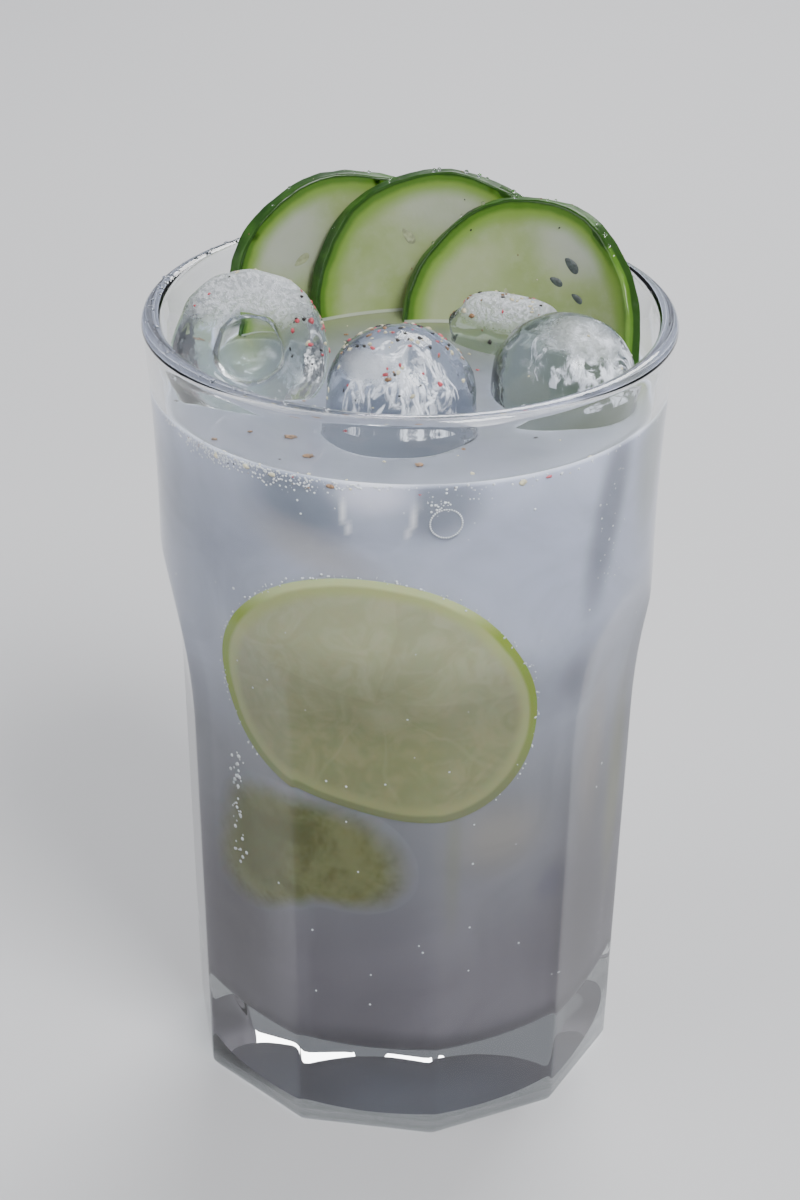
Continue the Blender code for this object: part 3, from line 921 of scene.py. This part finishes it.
def make_flake(rng, half):
    """A shard of crushed pepper: a flattened, jagged little lump."""
    flake = ball(half, 1 if half < 0.7 else 2)
    for vert in flake.verts:
        vert.co *= rng.uniform(0.6, 1.2)
    flake.transform(Matrix.Diagonal((1.0, rng.uniform(0.5, 0.9), rng.uniform(0.3, 0.6), 1.0)))
    return flake


def scatter(tree, box, count, size, lowest, rng, whole, kinds, upward):
    """Drops shards on a surface from above, and shares them out between the kinds by their weights."""
    low, high = box
    names = [kind for kind, _ in kinds]
    weights = [weight for _, weight in kinds]
    left = count
    for _ in range(count * TRIES):
        if left == 0:
            return
        x = rng.uniform(low[0], high[0])
        y = rng.uniform(low[1], high[1])
        hit, normal, _, _ = tree.ray_cast(Vector((x, y, DROP_HEIGHT)) * MM, Vector((0, 0, -1)))
        if hit is None or hit.z < lowest * MM or normal.z < upward:
            continue
        flake = make_flake(rng, rng.uniform(*size))
        spin = Matrix.Rotation(rng.uniform(0, math.tau), 4, "Z")
        flake.transform(Matrix.Translation(hit) @ z_along(normal) @ spin)
        join(whole[rng.choices(names, weights)[0]], flake)
        left -= 1


def tree_of(obj):
    graph = bpy.context.evaluated_depsgraph_get()
    return BVHTree.FromObject(obj, graph)


def make_pepper(ice, slices, drink, rng):
    looks = {
        "pepper_pink": ((0.60, 0.085, 0.11), 0.35),
        "pepper_cream": ((0.72, 0.66, 0.45), 0.45),
        "pepper_black": ((0.022, 0.018, 0.016), 0.45),
        "pepper_brown": ((0.36, 0.20, 0.095), 0.45, 0.6, 1600.0),
    }
    whole = {name: bmesh.new() for name in looks}
    mixed = (("pepper_pink", 3), ("pepper_cream", 6), ("pepper_black", 4), ("pepper_brown", 3))
    pink = (("pepper_pink", 5), ("pepper_cream", 2), ("pepper_black", 2))
    brown = (("pepper_cream", 5), ("pepper_black", 3), ("pepper_brown", 5), ("pepper_pink", 1))
    # what it falls on, range of x and y, count, half widths, lowest place, kinds, least z of the normal
    falls = [
        (ice["ice_middle"], ((-14.5, -28.5), (9.5, -6.0)), 115, (0.26, 0.66), 130.0, mixed, 0.05),
        (ice["ice_left"], ((-20.0, -8.0), (-12.0, 6.0)), 46, (0.24, 0.64), 132.0, pink, 0.02),
        (ice["ice_left"], ((-38.0, -8.0), (-18.0, 4.0)), 16, (0.26, 0.62), 138.0, pink, 0.02),
        (ice["ice_back"], ((6.0, 8.0), (28.0, 21.0)), 42, (0.28, 0.70), 129.0, brown, 0.08),
        (ice["ice_right"], ((14.0, -16.0), (38.0, 8.0)), 7, (0.2, 0.5), 132.0, mixed, 0.15),
        (drink, ((-38.0, -38.0), (38.0, 24.0)), 40, (0.2, 0.6), LEVEL - 1, brown, 0.15),
    ]
    for obj in slices.values():
        falls.append((obj, ((-32.0, 6.0), (38.0, 38.0)), 9, (0.15, 0.32), 134.0, brown, 0.01))
    for obj, box, count, size, lowest, kinds, upward in falls:
        scatter(tree_of(obj), box, count, size, lowest, rng, whole, kinds, upward)
    for x, y, half in FLOATING:
        flake = make_flake(rng, half)
        join(whole["pepper_brown"], moved(flake, (x, y, LEVEL + 0.2)))
    # shards along the waterline at the front, most of them on the left
    turns = [(rng.gauss(-38, 15), rng.uniform(0.15, 0.42)) for _ in range(70)]
    turns += [(rng.uniform(0, 75), rng.uniform(0.15, 0.4)) for _ in range(14)]
    turns += [(turn, BEACHED_HALF) for turn in BEACHED]
    for turn, half in turns:
        a = math.radians(turn)
        z = LEVEL + (rng.uniform(-1.8, 0.9) if half < 0.5 else -0.4)
        flake = make_flake(rng, half)
        flake.transform(z_along(at(a, 1.0, 0.0)))
        moved(flake, at(a, inner_radius(z) - 0.05, z))
        join(whole[rng.choices([k for k, _ in brown], [w for _, w in brown])[0]], flake)
    for name, bm in whole.items():
        make_piece(name, bm, [flat_colour(name, *looks[name])])


def make_bubbles(rng):
    """Froth along the waterline, fine bubbles on the wall, and one large bubble near the front."""
    shader = Shader("bubble_film")
    shader.set(Roughness=0.08, Specular_IOR_Level=0.8)
    shader.feed("Base Color", shader.mix(shader.noise(700.0, 2.0), (0.50, 0.52, 0.55), (0.80, 0.82, 0.84)))
    whole = bmesh.new()

    def bubble(turn, z, size, sink):
        part = ball(size, 2 if size > 0.16 else 1)
        join(whole, moved(part, at(math.radians(turn), inner_radius(z) + sink, z)))

    for _ in range(1400):
        turn = rng.gauss(-42, 18)
        thick = 1.2 if -62 < turn < -14 else 0.5
        z = LEVEL - abs(rng.gauss(0, thick)) + 0.5
        bubble(turn, z, rng.choice((0.07, 0.09, 0.11, 0.14, 0.22)), -0.04)
    for _ in range(120):
        bubble(rng.gauss(8, 14), LEVEL - abs(rng.gauss(0, 2.6)), rng.uniform(0.07, 0.18), -0.05)
    for _ in range(26):
        bubble(rng.gauss(6.5, 1.5), LEVEL - 3.2 + rng.gauss(0, 0.9), rng.uniform(0.10, 0.22), 0.05)
    for _ in range(34):
        bubble(rng.gauss(53, 3.0), rng.uniform(102, 124), rng.uniform(0.08, 0.22), 0.04)
    for _ in range(150):
        turn = rng.uniform(-180, 180)
        bubble(turn, LEVEL + rng.uniform(-0.6, 0.5), rng.uniform(0.1, 0.3), -0.05)
    for _ in range(130):
        bubble(rng.uniform(-180, 180), rng.uniform(24, 122), rng.uniform(0.12, 0.28), 0.02)
    angle, height, half_width, half_height = WHEEL
    outline = waved(WHEEL_WAVES)
    for _ in range(130):
        a = rng.uniform(-0.9, math.tau * 0.62)
        share = rng.gauss(1.01, 0.012) * outline(a)
        z = height + half_height * share * math.sin(a)
        turn = math.degrees(angle + half_width * share * math.cos(a) / inner_radius(height))
        bubble(turn, z, rng.uniform(0.09, 0.24), 0.12)
    for _ in range(45):
        bubble(rng.gauss(-52, 1.6), rng.uniform(46, 70), rng.uniform(0.15, 0.42), 0.06)
    turn, height, radius, rim = LARGE_BUBBLE
    a = math.radians(turn)
    ring = bmesh.new()
    bmesh.ops.create_circle(ring, segments=40, radius=radius * MM)
    ring.transform(z_along(at(a, 1.0, 0.0)))
    moved(ring, at(a, inner_radius(height) + 0.1, height))
    for vert in ring.verts:
        bead = ball(rim, 1)
        bead.transform(Matrix.Translation(vert.co))
        join(whole, bead)
    ring.free()
    make_piece("bubbles", whole, [shader.material])


def make_droplets(rng):
    """Droplets left on the rim of the tumbler and along the upper edges of the slices."""
    shader = Shader("droplet_water")
    shader.set(Base_Color=(0.97, 0.98, 1.0, 1.0), Roughness=0.02, IOR=1.33, Transmission_Weight=1.0)
    shader.bump(shader.noise(500.0, 1.0), 0.1, 0.1)
    shader.let_lamps_through((0.95, 0.96, 0.97))
    whole = bmesh.new()
    for _ in range(70):
        turn = math.radians(rng.gauss(-80, 45))
        size = rng.uniform(0.18, 0.55)
        drop = ball(size, 2)
        drop.transform(Matrix.Diagonal((1.0, 1.0, 0.6, 1.0)))
        radius = RIM_RADIUS - RIM_WALL / 2 + rng.uniform(-0.7, 0.7)
        join(whole, moved(drop, at(turn, radius, HEIGHT - 0.1)))
    on_slices = [(order, rng.uniform(30, 150)) for order in (0, 0, 1, 1, 1, 2, 2, 2) for _ in range(4)]
    for order, turn in on_slices:
        _, middle, spin, lean, half_width, half_height, bend = SLICES[order]
        a = math.radians(turn)
        lobes = slice_outline(a, order)
        drop = ball(rng.uniform(0.15, 0.4), 2)
        across = half_width * lobes * math.cos(a)
        moved(drop, bent(across, rng.uniform(0.4, 2.2), half_height * lobes * math.sin(a), bend))
        join(whole, placed(drop, middle, (-lean, 0.0, spin)))
    make_piece("droplets", whole, [shader.material])


def make_studio():
    bm = bmesh.new()
    bmesh.ops.create_grid(bm, x_segments=4, y_segments=4, size=4.0)
    mesh = bpy.data.meshes.new("floor")
    bm.to_mesh(mesh)
    bm.free()
    shader = Shader("floor_paper")
    shader.set(Roughness=0.7, Specular_IOR_Level=0.2)
    shader.feed("Base Color", shader.mix(shader.noise(6.0, 2.0), (0.60, 0.60, 0.615), (0.63, 0.63, 0.64)))
    mesh.materials.append(shader.material)
    floor = show("floor", mesh)
    world = bpy.data.worlds.new("studio")
    world.use_nodes = True
    light = world.node_tree.nodes["Background"].inputs
    light["Color"].default_value = (0.62, 0.65, 0.72, 1.0)
    light["Strength"].default_value = 0.30
    bpy.context.scene.world = world
    # name, place in metres, size, power in watts
    lamps = (
        ("key", (0.40, -0.55, 0.95), 0.40, 13.0),
        ("fill", (-0.80, -0.35, 0.55), 0.6, 3.5),
        ("back", (0.20, 0.75, 0.85), 0.5, 12.0),
    )
    aim = Vector((0.0, 0.0, 0.09))
    for name, place, size, power in lamps:
        light = bpy.data.lights.new(name, "AREA")
        light.size = size
        light.energy = power
        lamp = show(name, light)
        lamp.location = place
        lamp.rotation_euler = (aim - Vector(place)).to_track_quat("-Z", "Y").to_euler()


def make_camera():
    data = bpy.data.cameras.new("camera")
    data.lens = CAMERA_LENS
    data.sensor_width = SENSOR
    data.clip_start = 0.01
    camera = show("camera", data)
    tilt = Matrix.Rotation(math.pi / 2 - CAMERA_DOWN, 4, "X")
    roll = Matrix.Rotation(CAMERA_ROLL, 4, "Z")
    camera.matrix_world = Matrix.Translation(Vector(CAMERA_PLACE) * MM) @ tilt @ roll
    bpy.context.scene.camera = camera


def main():
    rng = random.Random(23)
    make_camera()
    make_studio()
    make_glass()
    ice, rooms = make_ice()
    slices = make_slices()
    drink = make_drink(rooms, slices)
    make_seeds()
    make_lime()
    make_veils()
    make_pepper(ice, slices, drink, rng)
    make_bubbles(rng)
    make_droplets(rng)


main()
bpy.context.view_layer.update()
